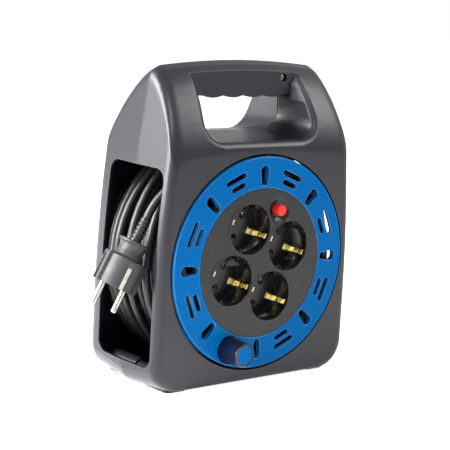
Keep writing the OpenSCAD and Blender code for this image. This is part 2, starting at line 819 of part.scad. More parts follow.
module drum_barrel() {
    color("#222224") on_drum() difference() {
        union() {
            band(rear_flange_back, flange_back - seat_gap, barrel_r, barrel_in_r);
            slug(rear_flange_back, rear_flange_front, rear_flange_r);
            slug(rear_flange_back, hub_front, axle_r + hub_play + hub_t);
            around(drum_post_angles, drum_post_from_axis)
                slug(rear_flange_back, lug_back - seat_gap, barrel_post_r);
            for (a = [45:90:315]) rotate([0, 0, a])
                translate([axle_r + 2, -hub_rib_t / 2, rear_flange_back])
                cube([barrel_in_r - axle_r - 1, hub_rib_t, hub_rib_h]);
        }
        slug(rear_flange_back - 1, hub_front + 1, axle_r + hub_play);
        around(drum_post_angles, drum_post_from_axis)
            slug(rear_flange_back - 1, drum_screw_seat, counterbore_r);
        around(drum_post_angles, drum_post_from_axis)
            slug(rear_flange_back, lug_back + 1, screw_r + screw_play);
        rotate([0, 0, entry_angle]) translate([0, 0, entry_f]) rotate([0, 90, 0])
            cylinder(h = barrel_r + 5, r = cable_r + 2 * run_gap);
    }
}

module drum_screws() {
    color("silver") on_drum() around(drum_post_angles, drum_post_from_axis)
        translate([0, 0, drum_screw_seat]) mirror([0, 0, 1])
            screw(screw_r, drum_screw_len, head_r, head_h);
}

// ---- Sockets ----

// The two pin places of a well, one above the other
module at_pins() {
    for (s = [-1, 1]) translate([0, s * pin_pitch / 2, 0]) children();
}

module socket_panel() {
    color("#1e1e20") on_drum() {
        difference() {
            union() {
                slug(panel_back, panel_front, panel_r - run_gap);
                at_wells() slug(cups_back, panel_back + 1, well_r + well_wall_t);
                at_wells() slug(panel_front - 1, panel_front + collar_h, collar_r - collar_foot,
                    collar_r - collar_taper);
                translate([0, button_from_axis, 0])
                    slug(panel_front - dish_depth - dish_floor_t, panel_back + 1, dish_r + dish_wall_t);
                around(carrier_screw_angles, carrier_post_from_axis)
                    slug(carrier_front + seat_gap, panel_back + 1, carrier_post_r);
                around(drum_post_angles, drum_post_from_axis)
                    slug(lug_back + lug_t + seat_gap, panel_back + 1, drum_post_r);
            }
            at_wells() slug(well_floor_f, panel_front + 2, well_r);
            at_wells() slug(panel_front - well_chamfer, panel_front + collar_h + eps, well_r,
                well_r + well_chamfer_w);
            at_wells() at_pins() slug(cups_back - 1, panel_front, pin_hole_r);
            at_wells() for (s = [0, 180]) rotate([0, 0, s])
                translate([clip_foot - run_gap, -clip_w / 2 - run_gap, cups_back - 1])
                cube([clip_from_centre - clip_foot + 1, clip_w + 2 * run_gap, well_floor_t + 2]);
            translate([0, button_from_axis, 0]) slug(panel_front - dish_depth, panel_front + eps,
                button_r + dish_floor_w, dish_r);
            translate([0, button_from_axis, 0]) slug(panel_front, panel_front + 1, dish_r);
            translate([0, button_from_axis, 0]) slug(cutout_front - 1, panel_front, button_r + button_play);
            around(carrier_screw_angles, carrier_post_from_axis)
                slug(carrier_front - 1, carrier_front + carrier_screw_len, screw_r + screw_play);
            around(drum_post_angles, drum_post_from_axis)
                slug(lug_back, panel_back - drum_pilot_stop, screw_r + screw_play);
        }
        at_wells() difference() {
            for (s = [-1, 1]) translate([-rib_w / 2, s > 0 ? well_r - rib_in : -well_r - rib_root,
                well_floor_f - eps]) cube([rib_w, rib_in + rib_root, well_depth - rib_short]);
            at_pins() slug(cups_back, panel_front, pin_hole_r);
        }
    }
}

module contact_carrier() {
    color("#d9d9d4") on_drum() difference() {
        union() {
            slug(carrier_back, carrier_front, carrier_r);
            at_wells() at_pins() slug(carrier_back, tower_front, tower_r);
            for (y = [-1, 1]) translate([0, y * well_offset, 0])
                slug(carrier_back, tower_front, middle_post_r);
            at_clamp_screws() slug(carrier_back, clamp_boss_f, clamp_boss_r);
        }
        at_wells() at_pins() slug(carrier_back - 1, earth_front, sleeve_r + seat_gap);
        translate([-cutout_w / 2 - cutout_play, button_from_axis - cutout_h / 2 - cutout_play,
            carrier_back - 1])
            cube([cutout_w + 2 * cutout_play, carrier_r, earth_front - carrier_back]);
        around(drum_post_angles, drum_post_from_axis)
            slug(carrier_back - 1, carrier_front + 1, drum_post_r + drum_post_play);
        around(carrier_screw_angles, carrier_post_from_axis)
            slug(carrier_back - 1, carrier_front + 1, screw_r + screw_play);
        at_clamp_screws() slug(carrier_back - 1, clamp_boss_f - 1, screw_r + screw_play);
        for (route = [cutout_route, neutral_route, earth_route]) let (end = route[len(route) - 1])
            translate([end[0], end[1], 0]) slug(carrier_back - 1, carrier_front + 1, wire_hole_r);
        busbar_channels();
    }
}

// Room in the carrier's towers for the strips that join the contacts
module busbar_channels() {
    for (y = live_rows)
        translate([-well_offset, y - strip_w / 2, live_front - sheet_t - channel_back_play])
        cube([2 * well_offset, strip_w, carrier_depth]);
    for (y = neutral_rows) translate([-well_offset, y - strip_w / 2, carrier_front])
        cube([2 * well_offset, strip_w, carrier_depth]);
}

module carrier_screws() {
    color("silver") on_drum() around(carrier_screw_angles, carrier_post_from_axis)
        translate([0, 0, carrier_back]) mirror([0, 0, 1])
            screw(screw_r, carrier_screw_len, head_r, head_h);
}

// A brass strip with four contact sleeves, joined by a link down the middle
module busbar(rows, front, link) {
    back = front - sheet_t;
    w = strip_w - 2 * strip_play;
    difference() {
        union() {
            for (y = rows) translate([-well_offset, y - w / 2, back]) cube([2 * well_offset, w, sheet_t]);
            translate([link - w / 2, rows[1], back]) cube([w, rows[0] - rows[1], sheet_t]);
            for (x = [-1, 1], y = rows) translate([x * well_offset, y, 0])
                slug(back, cups_back - seat_gap, sleeve_r);
        }
        for (x = [-1, 1], y = rows) translate([x * well_offset, y, 0])
            slug(back - 1, cups_back, sleeve_bore_r);
    }
}

module live_busbar() {
    color("gold") on_drum() busbar(live_rows, live_front, link_x);
}

module neutral_busbar() {
    color("gold") on_drum() busbar(neutral_rows, neutral_front, -link_x);
}

// Side profile of an earth clip's foot: up from the strip and out along the well's floor
module clip_foot_profile() {
    root = earth_front - sheet_t;
    end = clip_from_centre + clip_half_t;
    polygon([[clip_foot, root], [clip_foot, clip_foot_f], [end, clip_foot_f], [end, clip_foot_f - sheet_t],
        [clip_foot + sheet_t, clip_foot_f - sheet_t], [clip_foot + sheet_t, root]]);
}

// Side profile of its arm: up the wall of the well, bowed towards the middle, hooked at the tip
module clip_arm_profile() {
    tip = panel_front - 1;
    bow = (earth_front + tip) / 2 + 0.5;
    r = clip_from_centre;
    t = 2 * clip_half_t;
    foot = clip_foot_f - sheet_t;
    polygon([[r - t / 2, foot], [r + t / 2, foot], [r + t / 2, clip_foot_f + 1],
        [r - clip_bow, bow], [r - clip_bow, bow + 2], [r + t / 4, tip - clip_hook - 0.2],
        [r + t / 4, tip - t / 2], [r - 0.6, tip], [r - clip_hook, tip - t / 2],
        [r - 0.6, tip - clip_hook], [r - clip_bow - t, bow + 2.2], [r - clip_bow - t, bow - 0.2],
        [r - t / 2, clip_foot_f + 0.8]]);
}

module earth_busbar() {
    root = earth_front - sheet_t;
    color("gold") on_drum() {
        for (y = [-1, 1]) translate([-well_offset - clip_from_centre, y * well_offset - clip_w / 2, root])
            cube([2 * (well_offset + clip_from_centre), clip_w, sheet_t]);
        translate([-clip_w / 2, -well_offset, root]) cube([clip_w, 2 * well_offset, sheet_t]);
        at_wells() for (s = [0, 180]) rotate([0, 0, s]) {
            translate([0, clip_w / 2, 0]) rotate([90, 0, 0])
                linear_extrude(clip_w) clip_foot_profile();
            translate([0, clip_arm_w / 2, 0]) rotate([90, 0, 0])
                linear_extrude(clip_arm_w) clip_arm_profile();
        }
    }
}

module cutout_body() {
    color("#2c2c30") on_drum() translate([0, button_from_axis, 0]) difference() {
        translate([-cutout_w / 2, -cutout_h / 2, cutout_front - cutout_depth])
            cube([cutout_w, cutout_h, cutout_depth]);
        slug(panel_front + button_proud - button_len - button_travel - run_gap, cutout_front + 1,
            button_r + button_play);
    }
}

module cutout_tabs() {
    color("gold") on_drum() for (s = [-1, 1])
        translate([s * tab_from_middle - tab_t / 2, button_from_axis - tab_w / 2, tab_end_f])
        cube([tab_t, tab_w, tab_len]);
}

module reset_button() {
    front = panel_front + button_proud;
    color("#e8322c") on_drum() translate([0, button_from_axis, 0]) {
        slug(front - button_len, front - button_chamfer, button_r);
        slug(front - button_chamfer, front, button_r, button_r - button_chamfer);
    }
}

// ---- Crank knob ----

module knob_pin() {
    color("silver") on_drum() at_knob() difference() {
        union() {
            slug(flange_back - pin_head_h, flange_back, pin_head_r);
            slug(flange_back - eps, knob_shoulder_f + run_gap, knob_pin_r);
        }
        slug(knob_shoulder_f - knob_screw_len - 1, knob_shoulder_f + 1, screw_r + screw_play);
    }
}

module knob_screw() {
    color("silver") on_drum() at_knob() translate([0, 0, knob_shoulder_f + run_gap])
        screw(screw_r, knob_screw_len, knob_head_r, knob_head_h);
}

module knob_sleeve() {
    color("#1c1c20") on_drum() at_knob() difference() {
        union() {
            slug(knob_base_f, knob_end_f - knob_rim, knob_base_r, knob_end_r + knob_taper_end);
            slug(knob_end_f - knob_rim, knob_end_f, knob_end_r + knob_taper_end,
                knob_end_r + knob_taper_end - knob_rim_in);
        }
        slug(knob_base_f - 1, knob_end_f, knob_pin_r + knob_bore_play);
        slug(knob_shoulder_f, knob_end_f, knob_head_r + 2 * run_gap);
        slug(knob_end_f - knob_cap_t, knob_end_f + 1, knob_cap_r + screw_play);
    }
}

module knob_cap() {
    color("#0a74c8") on_drum() at_knob() {
        edge = knob_end_f - knob_cap_drop - knob_cap_chamfer;
        slug(knob_end_f - knob_cap_t, edge, knob_cap_r);
        slug(edge, knob_end_f - knob_cap_drop, knob_cap_r, knob_cap_r - knob_cap_chamfer);
    }
}

// ---- Wiring inside the drum ----

// Copies at the two screws of the cord clamp
module at_clamp_screws() {
    translate([clamp_at[0], clamp_at[1], 0]) rotate([0, 0, clamp_turn])
        for (s = [-1, 1]) translate([0, s * clamp_screw_from_cord, 0]) children();
}

module cord_clamp() {
    color("#d9d9d4") on_drum() difference() {
        translate([clamp_at[0], clamp_at[1], 0]) rotate([0, 0, clamp_turn])
            translate([-clamp_len / 2, -clamp_w / 2, clamp_back])
                cube([clamp_len, clamp_w, carrier_back - seat_gap - clamp_back]);
        translate(clamp_at) rotate([0, 0, clamp_turn]) rotate([0, 90, 0])
            cylinder(h = 2 * clamp_len, r = cable_r + seat_gap, center = true);
        at_clamp_screws() slug(clamp_back - 1, carrier_front, screw_r + screw_play);
    }
}

module clamp_screws() {
    color("silver") on_drum() at_clamp_screws() translate([0, 0, clamp_back]) mirror([0, 0, 1])
        screw(screw_r, clamp_boss_f - clamp_screw_stop - clamp_back, head_r, head_h);
}

module cable_tail() {
    color("#161618") on_drum() cord(tail_route, cable_r, tube_sides, inner_steps, [0, 0, 1]);
}

module live_wire() {
    color("saddlebrown") on_drum() cord(live_route, wire_r, wire_sides, inner_steps, [1, 0, 0.3]);
}

module cutout_wire() {
    color("saddlebrown") on_drum() cord(cutout_route, wire_r, wire_sides, inner_steps, [1, 0, 0.3]);
}

module neutral_wire() {
    color("royalblue") on_drum() cord(neutral_route, wire_r, wire_sides, inner_steps, [0, 0.3, 1]);
}

module earth_wire() {
    color("yellowgreen") on_drum() cord(earth_route, wire_r, wire_sides, inner_steps, [1, 0.3, 0.2]);
}

// ---- Cable and plug ----

module cable_winding() {
    color("#161618") on_drum() rotate_extrude() polygon(concat([[winding_in_r, winding_back],
        [winding_r - winding_edge, winding_back], [winding_r, winding_back + winding_edge],
        [winding_r, lead_room_f]],
        [for (p = lead_room_steps) [winding_r - p[0], lead_room_f + p[1]]],
        [[winding_r - winding_front_drop, winding_front], [winding_in_r, winding_front]]));
}

module cable_lead() {
    color("#161618") cord(lead_route, cable_r, tube_sides, lead_steps, [0, 1, 0]);
}

// Radius of the bend relief at a height above its foot
function relief_at(z) = relief_r + (relief_end_r - relief_r) * z / relief_len;

module bend_relief() {
    pitch = relief_len / relief_segments;
    color("#161618") on_plug() rotate_extrude() polygon(concat([[0, 0]],
        [for (k = [0:relief_segments - 1])
            let (ridge = k + relief_ridge, next = k + 1 - (k < relief_segments - 1 ? relief_flank : 0))
            each [[relief_at(k * pitch), k * pitch], [relief_at(ridge * pitch), ridge * pitch],
                [relief_at(ridge * pitch) - relief_groove, (ridge + relief_flank) * pitch],
                [relief_at((k + 1) * pitch) - relief_groove, next * pitch]]],
        [[0, relief_len]]));
}

module plug_body() {
    shoulder = -collar_ring_t - plug_grip_len;
    back = -seat_gap / 2;
    color("#242426") on_plug() difference() {
        union() {
            rotate_extrude() polygon([[0, back], [collar_ring_r - collar_ring_edge, back],
                [collar_ring_r, back - collar_ring_edge], [collar_ring_r, -collar_ring_t],
                [grip_r, -collar_ring_t], [grip_waist_r, -collar_ring_t - grip_waist_share * plug_grip_len],
                [grip_r, shoulder + grip_end], [plug_r - plug_edge, shoulder],
                [plug_r, shoulder - plug_edge], [plug_r, plug_face + plug_face_edge],
                [plug_r - plug_face_edge, plug_face], [0, plug_face]]);
            intersection() {
                translate([0, 0, plug_face]) cylinder(h = plug_front_len, r = wing_r);
                translate([-wing_r, -wing_w / 2, plug_face]) cube([2 * wing_r, wing_w, plug_front_len]);
            }
        }
        translate([0, 0, plug_face - eps])
            cylinder(h = bridge_t + seat_gap / 2, r = bridge_r + screw_play);
        for (s = [-1, 1]) translate([s * pin_pitch / 2, 0, plug_face])
            cylinder(h = pin_root_len + 1, r = pin_root_r + screw_play);
        for (s = [0, 180]) rotate([0, 0, s]) {
            translate([wing_r - guide_depth, -guide_w / 2, plug_face - 1])
                cube([guide_depth + 1, guide_w, plug_front_len - guide_short]);
            translate([-(earth_strip_w + seat_gap) / 2, plug_r - earth_strip_t - seat_gap / 2,
                plug_face - 1])
                cube([earth_strip_w + seat_gap, earth_strip_t + strip_slot_past,
                    strip_len + 1 + seat_gap]);
        }
    }
}

module plug_bridge() {
    color("#303033") on_plug() difference() {
        translate([0, 0, plug_face]) cylinder(h = bridge_t, r = bridge_r);
        for (s = [-1, 1]) translate([s * pin_pitch / 2, 0, plug_face - 1])
            cylinder(h = bridge_t + 2, r = pin_root_r + screw_play);
    }
}

module plug_pins() {
    color("silver") on_plug() for (s = [-1, 1]) translate([s * pin_pitch / 2, 0, plug_face]) {
        translate([0, 0, -plug_pin_len + pin_tip]) cylinder(h = plug_pin_len - pin_tip, r = plug_pin_r);
        translate([0, 0, -eps]) cylinder(h = pin_root_len + eps, r = pin_root_r);
        translate([0, 0, -plug_pin_len]) cylinder(h = pin_tip, r1 = plug_pin_r - pin_tip, r2 = plug_pin_r);
    }
}

module plug_earth_strips() {
    color("silver") on_plug() for (s = [0, 180]) rotate([0, 0, s])
        translate([-earth_strip_w / 2, plug_r - earth_strip_t, plug_face + seat_gap / 2])
        cube([earth_strip_w, earth_strip_t, strip_len]);
}

front_shell();
rear_shell();
case_screws();
handle_screw();
axle_washer();
axle_screw();
front_flange();
drum_barrel();
drum_screws();
socket_panel();
contact_carrier();
carrier_screws();
live_busbar();
neutral_busbar();
earth_busbar();
cutout_body();
cutout_tabs();
reset_button();
knob_pin();
knob_screw();
knob_sleeve();
knob_cap();
cord_clamp();
clamp_screws();
cable_tail();
live_wire();
cutout_wire();
neutral_wire();
earth_wire();
cable_winding();
cable_lead();
bend_relief();
plug_body();
plug_bridge();
plug_pins();
plug_earth_strips();
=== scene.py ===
"""Looks of a cassette cable reel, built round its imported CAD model.

Sizes are in metres, except where a class says otherwise, in the CAD model's own frame: X to the right,
the front faces -Y, Z is up and the feet stand on z = 0.
"""
import json
import logging
import math
from dataclasses import dataclass, field
from enum import Enum
from typing import Sequence

import bmesh
import bpy
from mathutils import Matrix, Vector


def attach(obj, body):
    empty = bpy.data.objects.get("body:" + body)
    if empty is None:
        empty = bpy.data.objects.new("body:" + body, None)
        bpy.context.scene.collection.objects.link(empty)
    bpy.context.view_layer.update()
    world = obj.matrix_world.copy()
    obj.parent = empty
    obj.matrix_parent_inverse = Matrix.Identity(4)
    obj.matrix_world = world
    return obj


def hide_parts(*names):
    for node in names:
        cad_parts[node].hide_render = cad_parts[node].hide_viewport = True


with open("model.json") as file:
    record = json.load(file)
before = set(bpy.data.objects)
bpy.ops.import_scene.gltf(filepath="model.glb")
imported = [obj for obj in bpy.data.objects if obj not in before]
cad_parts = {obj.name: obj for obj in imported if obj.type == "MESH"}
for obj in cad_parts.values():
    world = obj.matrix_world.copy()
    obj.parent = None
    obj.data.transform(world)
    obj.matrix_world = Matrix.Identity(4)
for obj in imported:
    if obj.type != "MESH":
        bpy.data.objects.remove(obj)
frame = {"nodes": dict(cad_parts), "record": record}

log = logging.getLogger("cable_reel")
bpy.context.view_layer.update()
IMAGE_SIDE = 450
TAU = 2 * math.pi
EDGE_SHARE = 0.55
BEVEL_SAMPLES = 6

# Sockets of a colour mix node
MIX_SHARE, MIX_FIRST, MIX_SECOND = 0, 6, 7
MIX_RESULT = 2

# How a CAD mesh is cleaned before it is shaded smooth
MERGE_GAP = 2e-6
SLIVER = 1e-6
FLAT_ANGLE = math.radians(0.4)
NORMAL_WEIGHT = 80

Colour = tuple[float, float, float]
Pair = tuple[float, float]
Node = bpy.types.Node
Socket = str | int


def paint(red: int, green: int, blue: int) -> Colour:
    """A colour from 0 to 255 per channel as the linear values that shaders take.

    Args:
        red: share of red.
        green: share of green.
        blue: share of blue.

    Returns:
        The three linear values.
    """
    def linear(value: int) -> float:
        """One channel as a linear value."""
        v = value / 255
        return v / 12.92 if v <= 0.04045 else ((v + 0.055) / 1.055) ** 2.4

    return linear(red), linear(green), linear(blue)


class Slot(Enum):
    """The record's material slots."""

    CASING = "casing_plastic"
    BLUE = "blue_plastic"
    BLACK = "black_plastic"
    KNOB = "knob_plastic"
    RED = "red_plastic"
    CARRIER = "carrier_plastic"
    BRIDGE = "bridge_plastic"
    SHEATH = "cable_sheath"
    PLUG = "plug_rubber"
    NICKEL = "nickel"
    BRASS = "contact_brass"
    SCREW = "screw_steel"
    BROWN_WIRE = "brown_insulation"
    BLUE_WIRE = "blue_insulation"
    EARTH_WIRE = "earth_insulation"


class Body(Enum):
    """The rigid bodies of the reel."""

    CASING = "casing"
    DRUM = "drum"
    BUTTON = "reset_button"
    KNOB = "knob"


# ---- Finishes ----


class NodeKit:
    """Adds and links the nodes of one tree."""

    tree: bpy.types.NodeTree

    def add(self, kind: str, **settings: object) -> Node:
        """Adds a node.

        Args:
            kind: the node's type.
            settings: its properties.

        Returns:
            The new node.
        """
        node = self.tree.nodes.new(kind)
        for key, value in settings.items():
            setattr(node, key, value)
        return node

    def link(self, source: Node, output: Socket, target: Node, socket: Socket) -> None:
        """Joins an output to an input."""
        self.tree.links.new(source.outputs[output], target.inputs[socket])


class NodeGraph(NodeKit):
    """The shader nodes of one material."""

    def __init__(self, name: str) -> None:
        """Starts an empty material.

        Args:
            name: the material's name.
        """
        self.material = bpy.data.materials.new(name)
        self.material.use_nodes = True
        self.tree = self.material.node_tree
        self.tree.nodes.clear()
        self.output = self.add("ShaderNodeOutputMaterial")
        self.bsdf = self.add("ShaderNodeBsdfPrincipled")
        self.link(self.bsdf, "BSDF", self.output, "Surface")

    def place(self) -> Node:
        """The node whose Object output gives a point of the piece."""
        return self.add("ShaderNodeTexCoord")

    def noise(self, coords: Node, size: float, detail: float = 2, stretch: Vector | None = None) -> Node:
        """Noise over the piece.

        Args:
            coords: the node that gives the place.
            size: the size of its patches in metres.
            detail: how many finer layers it has.
            stretch: how much longer the patches are along each axis.

        Returns:
            The noise node.
        """
        node = self.add("ShaderNodeTexNoise")
        node.inputs["Scale"].default_value = 1 / size
        node.inputs["Detail"].default_value = detail
        if stretch is None:
            self.link(coords, "Object", node, "Vector")
            return node
        mapping = self.add("ShaderNodeMapping")
        mapping.inputs["Scale"].default_value = [1 / s for s in stretch]
        self.link(coords, "Object", mapping, "Vector")
        self.link(mapping, "Vector", node, "Vector")
        return node

    def spread(self, source: Node, output: Socket, low: float, high: float, ends: Pair = (0.3, 0.7)) -> Node:
        """Maps a value between two ends onto a range.

        Args:
            source: the node that gives the value.
            output: its output.
            low: result at the lower end.
            high: result at the upper end.
            ends: the two ends.

        Returns:
            The map node.
        """
        node = self.add("ShaderNodeMapRange")
        node.inputs["From Min"].default_value = ends[0]
        node.inputs["From Max"].default_value = ends[1]
        node.inputs["To Min"].default_value = low
        node.inputs["To Max"].default_value = high
        self.link(source, output, node, "Value")
        return node

    def mix(self, share: Node, output: Socket, first: Sequence[float], second: Sequence[float]) -> Node:
        """Mixes two colours by a share.

        Args:
            share: the node that gives the share.
            output: its output.
            first: the colour where the share is 0.
            second: the colour where the share is 1.

        Returns:
            The mix node, with the colour on output MIX_RESULT.
        """
        node = self.add("ShaderNodeMix", data_type="RGBA")
        node.inputs[MIX_FIRST].default_value = (*first, 1)
        node.inputs[MIX_SECOND].default_value = (*second, 1)
        self.link(share, output, node, MIX_SHARE)
        return node

    def rounded_edges(self, radius: float) -> Node:
        """The normal of the surface with its edges rounded.

        Args:
            radius: the radius of the rounding in metres.

        Returns:
            The bevel node.
        """
        node = self.add("ShaderNodeBevel", samples=BEVEL_SAMPLES)
        node.inputs["Radius"].default_value = radius
        return node

    def bump(self, source: Node, output: Socket, height: float, below: Node) -> Node:
        """Relief of a height in metres over another normal.

        Args:
            source: the node that gives the relief.
            output: its output.
            height: the relief's height.
            below: the node whose Normal output lies under it.

        Returns:
            The bump node.
        """
        node = self.add("ShaderNodeBump")
        node.inputs["Distance"].default_value = height
        self.link(source, output, node, "Height")
        self.link(below, "Normal", node, "Normal")
        return node


@dataclass(frozen=True)
class MouldedPlastic:
    """Injection-moulded plastic: a base colour with faint cloudiness, grain, softened edges and a painted
    highlight on the edges.
    """

    slot: Slot
    base: Colour
    cloud: Colour
    roughness: float
    roughness_swing: float = 0.05
    grain: float = 0.0006
    grain_height: float = 0.00002
    edge: float = 0.0005
    # How much lighter the edges are painted, as a highlight.
    edge_highlight_tone: float = 1.5
    specular: float = 0.5
    edge_specular: float = 0.5
    cloud_size: float = 0.035
    rub_size: float = 0.006
    edge_ends: Pair = (0.82, 0.995)

    def build(self) -> bpy.types.Material:
        """Builds the material.

        Returns:
            The material, named after its slot.
        """
        g = NodeGraph(self.slot.value)
        coords = g.place()
        clouds = g.noise(coords, self.cloud_size, detail=3)
        tone = g.mix(g.spread(clouds, "Fac", 0, 1), "Result", self.base, self.cloud)
        smooth = g.rounded_edges(self.edge)
        wear_and_edge_highlight = self.edge_highlight_mask(g, smooth)
        # The cloudy tone takes the place of the plain base colour.
        # The edges are painted lighter than the rest, as a highlight.
        lit = g.mix(wear_and_edge_highlight, "Result", self.base, [min(1, c * self.edge_highlight_tone) for c in self.cloud])
        g.link(tone, MIX_RESULT, lit, MIX_FIRST)
        g.link(lit, MIX_RESULT, g.bsdf, "Base Color")
        rubbed = g.noise(coords, self.rub_size, detail=4)
        gloss = g.spread(rubbed, "Fac", self.roughness - self.roughness_swing,
                         self.roughness + self.roughness_swing)
        g.link(gloss, "Result", g.bsdf, "Roughness")
        fine = g.noise(coords, self.grain, detail=1)
        g.link(g.bump(fine, "Fac", self.grain_height, smooth), "Normal", g.bsdf, "Normal")
        shine = g.spread(wear_and_edge_highlight, "Result", self.specular, self.edge_specular, (0, EDGE_SHARE))
        g.link(shine, "Result", g.bsdf, "Specular IOR Level")
        return g.material

    def edge_highlight_mask(self, g: NodeGraph, smooth: Node) -> Node:
        """Finds the edges, where the colour is painted lighter as a highlight and the specular level rises.

        Args:
            g: the material's graph.
            smooth: the node that gives the rounded normal.

        Returns:
            A node whose Result is EDGE_SHARE on an edge and 0 on a plain surface.
        """
        geometry = g.add("ShaderNodeNewGeometry")
        dot = g.add("ShaderNodeVectorMath", operation="DOT_PRODUCT")
        g.link(smooth, "Normal", dot, 0)
        g.link(geometry, "Normal", dot, 1)
        return g.spread(dot, "Value", EDGE_SHARE, 0, self.edge_ends)


@dataclass(frozen=True)
class CableSheath:
    """Soft cable sheath or plug rubber: matt, with faint rubbed streaks."""

    slot: Slot
    base: Colour
    rubbed: Colour
    roughness: float
    grain: float = 0.0008
    grain_height: float = 0.00003
    edge: float = 0.0004
    specular: float = 0.36
    patch: float = 0.012
    patch_ends: Pair = (0.35, 0.75)
    dull_swing: float = 0.08
    shiny_swing: float = 0.06

    def build(self) -> bpy.types.Material:
        """Builds the material.

        Returns:
            The material, named after its slot.
        """
        g = NodeGraph(self.slot.value)
        coords = g.place()
        patches = g.noise(coords, self.patch, detail=4)
        wear_and_edge_highlight = g.spread(patches, "Fac", 0, 1, self.patch_ends)
        g.link(g.mix(wear_and_edge_highlight, "Result", self.base, self.rubbed), MIX_RESULT, g.bsdf, "Base Color")
        gloss = g.spread(patches, "Fac", self.roughness + self.dull_swing, self.roughness - self.shiny_swing)
        g.link(gloss, "Result", g.bsdf, "Roughness")
        fine = g.noise(coords, self.grain, detail=2)
        relief = g.bump(fine, "Fac", self.grain_height, g.rounded_edges(self.edge))
        g.link(relief, "Normal", g.bsdf, "Normal")
        g.bsdf.inputs["Specular IOR Level"].default_value = self.specular
        return g.material


@dataclass(frozen=True)
class PlatedMetal:
    """Stamped or turned metal with fine tool lines and a little tarnish."""

    slot: Slot
    base: Colour
    tarnish: Colour
    roughness: float
    line: float = 0.0004
    line_height: float = 0.000004
    line_stretch: float = 8
    edge: float = 0.0002
    stain: float = 0.004
    stain_ends: Pair = (0.45, 0.8)
    stain_roughness: float = 0.14

    def build(self) -> bpy.types.Material:
        """Builds the material.

        Returns:
            The material, named after its slot.
        """
        g = NodeGraph(self.slot.value)
        coords = g.place()
        stains = g.noise(coords, self.stain, detail=3)
        dulled = g.spread(stains, "Fac", 0, 1, self.stain_ends)
        g.link(g.mix(dulled, "Result", self.base, self.tarnish), MIX_RESULT, g.bsdf, "Base Color")
        gloss = g.spread(stains, "Fac", self.roughness, self.roughness + self.stain_roughness)
        g.link(gloss, "Result", g.bsdf, "Roughness")
        lines = g.noise(coords, self.line, detail=1, stretch=Vector((1, 1, self.line_stretch)))
        relief = g.bump(lines, "Fac", self.line_height, g.rounded_edges(self.edge))
        g.link(relief, "Normal", g.bsdf, "Normal")
        g.bsdf.inputs["Metallic"].default_value = 1.0
        return g.material


@dataclass(frozen=True)
class EarthInsulation:
    """Green wire insulation with yellow stripes."""

    slot: Slot
    green: Colour
    yellow: Colour
    roughness: float = 0.4
    stripe_scale: float = 160
    stripe_ends: Pair = (0.45, 0.55)

    def build(self) -> bpy.types.Material:
        """Builds the material.

        Returns:
            The material, named after its slot.
        """
        g = NodeGraph(self.slot.value)
        waves = g.add("ShaderNodeTexWave", wave_type="BANDS", bands_direction="DIAGONAL")
        waves.inputs["Scale"].default_value = self.stripe_scale
        g.link(g.place(), "Object", waves, "Vector")
        stripes = g.spread(waves, "Fac", 0, 1, self.stripe_ends)
        g.link(g.mix(stripes, "Result", self.green, self.yellow), MIX_RESULT, g.bsdf, "Base Color")
        g.bsdf.inputs["Roughness"].default_value = self.roughness
        return g.material


# Each edge tone sets how much lighter a plastic's edges are painted, as a highlight.
FINISHES = (
    MouldedPlastic(Slot.CASING, paint(14, 14, 21), paint(18, 18, 26), roughness=0.33, roughness_swing=0.02,
                   grain=0.0008, grain_height=0.00007, edge=0.0009, edge_highlight_tone=1.6, specular=0.34),
    MouldedPlastic(Slot.BLUE, paint(0, 87, 149), paint(0, 91, 154), roughness=0.3, roughness_swing=0.03,
                   grain=0.0009, grain_height=0.00001, edge=0.0011, edge_highlight_tone=1.9, specular=0.03,
                   edge_specular=1.0),
    MouldedPlastic(Slot.BLACK, paint(13, 13, 14), paint(17, 17, 18), roughness=0.27, roughness_swing=0.03,
                   grain=0.0008, grain_height=0.00001, edge=0.0004, edge_highlight_tone=2.4, specular=0.26),
    MouldedPlastic(Slot.KNOB, paint(10, 12, 34), paint(14, 16, 40), roughness=0.22, roughness_swing=0.03,
                   grain=0.0008, grain_height=0.00001, edge=0.0006, edge_highlight_tone=2.0, specular=0.4),
    MouldedPlastic(Slot.RED, paint(228, 34, 26), paint(234, 40, 30), roughness=0.26, roughness_swing=0.03,
                   grain=0.0008, grain_height=0.00001, edge=0.0004, edge_highlight_tone=1.2, specular=0.25),
    MouldedPlastic(Slot.CARRIER, paint(214, 214, 208), paint(206, 206, 198), roughness=0.45),
    MouldedPlastic(Slot.BRIDGE, paint(40, 40, 42), paint(48, 48, 50), roughness=0.42),
    MouldedPlastic(Slot.BROWN_WIRE, paint(110, 68, 40), paint(118, 74, 46), roughness=0.38),
    MouldedPlastic(Slot.BLUE_WIRE, paint(48, 96, 176), paint(54, 104, 184), roughness=0.38),
    CableSheath(Slot.SHEATH, paint(14, 13, 14), paint(20, 19, 19), roughness=0.4),
    CableSheath(Slot.PLUG, paint(34, 34, 36), paint(44, 44, 46), roughness=0.5, grain=0.0009,
                grain_height=0.00008, edge=0.0007),
    PlatedMetal(Slot.NICKEL, paint(156, 154, 148), paint(120, 116, 108), roughness=0.24),
    PlatedMetal(Slot.BRASS, paint(255, 246, 196), paint(150, 112, 44), roughness=0.14),
    PlatedMetal(Slot.SCREW, paint(176, 176, 174), paint(130, 128, 122), roughness=0.32),
    EarthInsulation(Slot.EARTH_WIRE, paint(40, 130, 50), paint(220, 200, 40)),
)


# ---- Meshes ----


